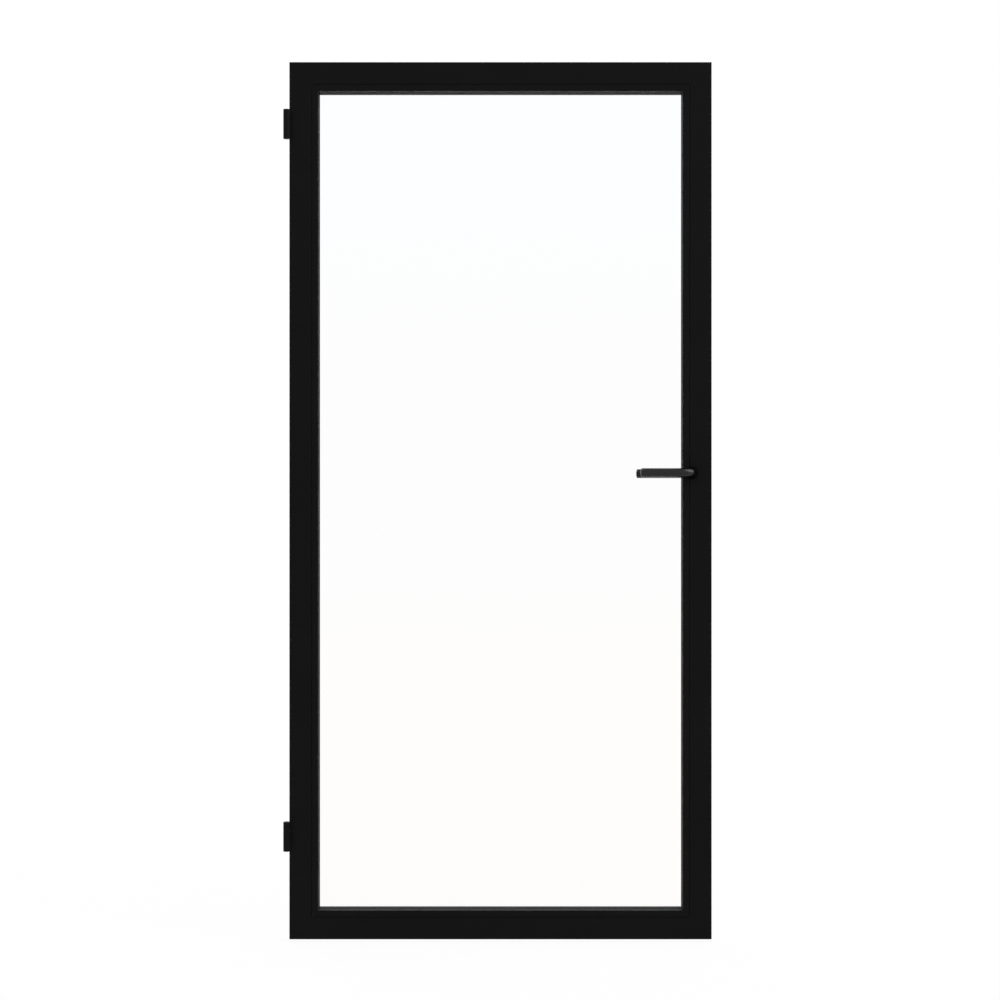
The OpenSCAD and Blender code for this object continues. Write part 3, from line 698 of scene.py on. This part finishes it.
# In view the floor glows almost white, a little less near the leaf, and a thin matt part of it takes
# the leaf's shadow. Elsewhere it is plain pale paint, and clear to what shines through the pane
white_floor, tree = finish_named("pale_studio_floor")
at = put(tree, "ShaderNodeTexCoord")
far = put(tree, "ShaderNodeVectorMath", {"operation": "LENGTH"}, {0: at.outputs["Object"]})
level = put(tree, "ShaderNodeMapRange",
            {"From Min": 3.0, "From Max": 7.0, "To Min": 0.948, "To Max": 0.9625},
            {"Value": far.outputs["Value"]})
glow = put(tree, "ShaderNodeEmission", {"Color": linear("#ffffff")}, {"Strength": level.outputs["Result"]})
thin = put(tree, "ShaderNodeBsdfDiffuse", {"Color": linear("#404040")})
both = put(tree, "ShaderNodeAddShader", None, {0: glow.outputs[0], 1: thin.outputs[0]})
plain = put(tree, "ShaderNodeBsdfDiffuse", {"Color": linear("#dcdcdc")})
clear = put(tree, "ShaderNodeBsdfTransparent")
path = put(tree, "ShaderNodeLightPath")
unseen = put(tree, "ShaderNodeMixShader", None,
             {0: path.outputs["Is Transmission Ray"], 1: plain.outputs[0], 2: clear.outputs[0]})
mix = put(tree, "ShaderNodeMixShader", None,
          {0: in_view(tree).outputs[0], 1: unseen.outputs[0], 2: both.outputs[0]})
put(tree, "ShaderNodeOutputMaterial", None, {"Surface": mix.outputs[0]})
floor.data.materials.append(white_floor)
floor.visible_glossy = False

world = bpy.data.worlds.new("studio")
bpy.context.scene.world = world
world.use_nodes = True
tree = world.node_tree
tree.nodes.clear()
path = put(tree, "ShaderNodeLightPath")
way = put(tree, "ShaderNodeTexCoord")
split = put(tree, "ShaderNodeSeparateXYZ", None, {0: way.outputs["Generated"]})
# What shines in lacquer and glass: a room that grows lighter from the front to the white ground
# behind. High in front is a strip of cool daylight, and low in front a strip of warm floor, which
# the pane mirrors faintly
height = put(tree, "ShaderNodeMapRange", {"From Min": -0.5, "From Max": 0.5},
             {"Value": split.outputs["Z"]})
ahead = put(tree, "ShaderNodeValToRGB",
            {"stops": ((0.15, "#e5e5e5"), (0.22, "#f1e3c4"), (0.40, "#f1e3c4"), (0.45, "#e5e5e5"),
                       (0.59, "#e5e5e5"), (0.68, "#e5f2ff"), (0.78, "#e5f2ff"), (0.85, "#e5e5e5"))},
            {"Fac": height.outputs["Result"]})
backward = put(tree, "ShaderNodeMapRange", {"From Min": -0.8, "From Max": 0.5},
               {"Value": split.outputs["Y"]})
bright = put(tree, "ShaderNodeMixRGB", {2: linear("#f7f7f7")},
             {0: backward.outputs["Result"], 1: ahead.outputs["Color"]})
# A dark flag stands on each side of the leaf, at its back, and leaves the room open overhead
across = put(tree, "ShaderNodeMath", {"operation": "ABSOLUTE"}, {0: split.outputs["X"]})
aside = put(tree, "ShaderNodeMapRange", {"From Min": 0.15, "From Max": 0.4}, {"Value": across.outputs[0]})
upward = put(tree, "ShaderNodeMath", {"operation": "MAXIMUM", 1: 0.0}, {0: split.outputs["Z"]})
overhead = put(tree, "ShaderNodeMath", {"operation": "POWER", 1: 2.0}, {0: upward.outputs[0]})
lowered = put(tree, "ShaderNodeMath", {"operation": "SUBTRACT"},
              {0: split.outputs["Y"], 1: overhead.outputs[0]})
behind = put(tree, "ShaderNodeMapRange", {"From Min": 0.06, "From Max": 0.16, "To Max": 0.97},
             {"Value": lowered.outputs[0]})
flag = put(tree, "ShaderNodeMath", {"operation": "MULTIPLY"},
           {0: aside.outputs["Result"], 1: behind.outputs["Result"]})
open_part = put(tree, "ShaderNodeMath", {"operation": "SUBTRACT", 0: 1.0}, {1: flag.outputs[0]})
shine = put(tree, "ShaderNodeBackground", None,
            {"Color": bright.outputs[0], "Strength": open_part.outputs[0]})
soft = put(tree, "ShaderNodeBackground", {"Color": linear("#ffffff"), "Strength": SOFT_LEVEL})
ground = put(tree, "ShaderNodeBackground", {"Color": linear("#ffffff"), "Strength": 1.0})
polished = put(tree, "ShaderNodeMath", {"operation": "MAXIMUM"},
               {0: path.outputs["Is Glossy Ray"], 1: path.outputs["Is Transmission Ray"]})
unseen = put(tree, "ShaderNodeMixShader", None,
             {0: polished.outputs[0], 1: soft.outputs[0], 2: shine.outputs[0]})
mix = put(tree, "ShaderNodeMixShader", None,
          {0: in_view(tree).outputs[0], 1: unseen.outputs[0], 2: ground.outputs[0]})
put(tree, "ShaderNodeOutputWorld", None, {"Surface": mix.outputs[0]})


LAMP_AIM = Vector((0, 0, 1.0))    # a point near the middle of the leaf


def softbox(name, place, size, power):
    """A square area lamp that faces the leaf."""
    bpy.ops.object.light_add(type="AREA", location=place)
    lamp = bpy.context.object
    lamp.name = name
    lamp.data.shape = "SQUARE"
    lamp.data.size = size
    lamp.data.energy = power
    lamp.rotation_euler = (LAMP_AIM - Vector(place)).to_track_quat("-Z", "Y").to_euler()


softbox("key_softbox", (4.3, -1.0, 4.4), size=4.6, power=120)
softbox("back_softbox", (-3.5, 4.0, 4.2), size=2.4, power=60)

# Camera: straight on, almost level with the middle of the leaf. The lens is set by the view's width
CAMERA_AWAY = 3.87        # from the leaf's front face
VIEW_WIDTH = 2.2968       # seen at that face
SENSOR = 36
AIM_X = -1.15 * MM        # a little left of the leaf's middle
AIM_Z = LEAF_H / 2 + 1.65 * MM    # and a little above it
bpy.ops.object.camera_add(location=(AIM_X, FRONT - CAMERA_AWAY, AIM_Z), rotation=(pi / 2, 0, 0))
camera = bpy.context.object
camera.data.sensor_width = SENSOR
camera.data.lens = SENSOR * CAMERA_AWAY / VIEW_WIDTH
bpy.context.scene.camera = camera
bpy.context.scene.view_settings.view_transform = "Standard"
